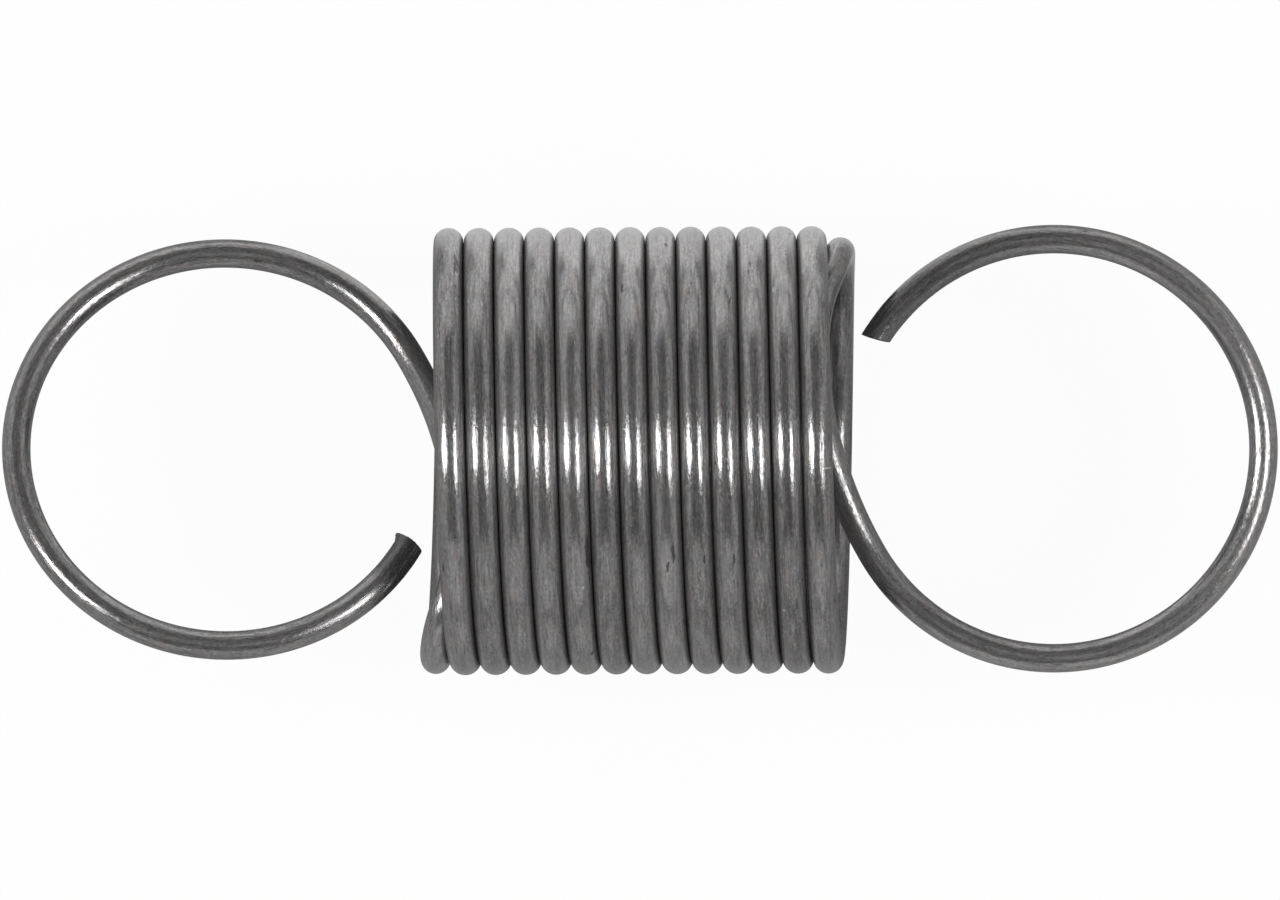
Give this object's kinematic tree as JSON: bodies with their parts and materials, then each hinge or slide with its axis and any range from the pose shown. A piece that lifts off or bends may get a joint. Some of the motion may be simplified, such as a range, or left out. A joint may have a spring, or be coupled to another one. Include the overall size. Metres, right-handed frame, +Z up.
{
  "type": "extension spring",
  "caption": "Close-wound steel extension spring of round wire, with a full crossover loop at each end to hook between anchors and pull them together.",
  "frame": {"origin": "on the surface that the coil lies on, under the middle of the spring", "axes": "+X along the spring's axis towards the level loop (right_loop), +Z up and square to that loop's plane, +Y to its left"},
  "size_m": [0.0714, 0.025, 0.025],
  "materials": {
    "spring": "drawn spring wire, satin dark grey with fine lines along the wire"
  },
  "bodies": {
    "root": {"spring": "spring"}
  },
  "joints": []
}
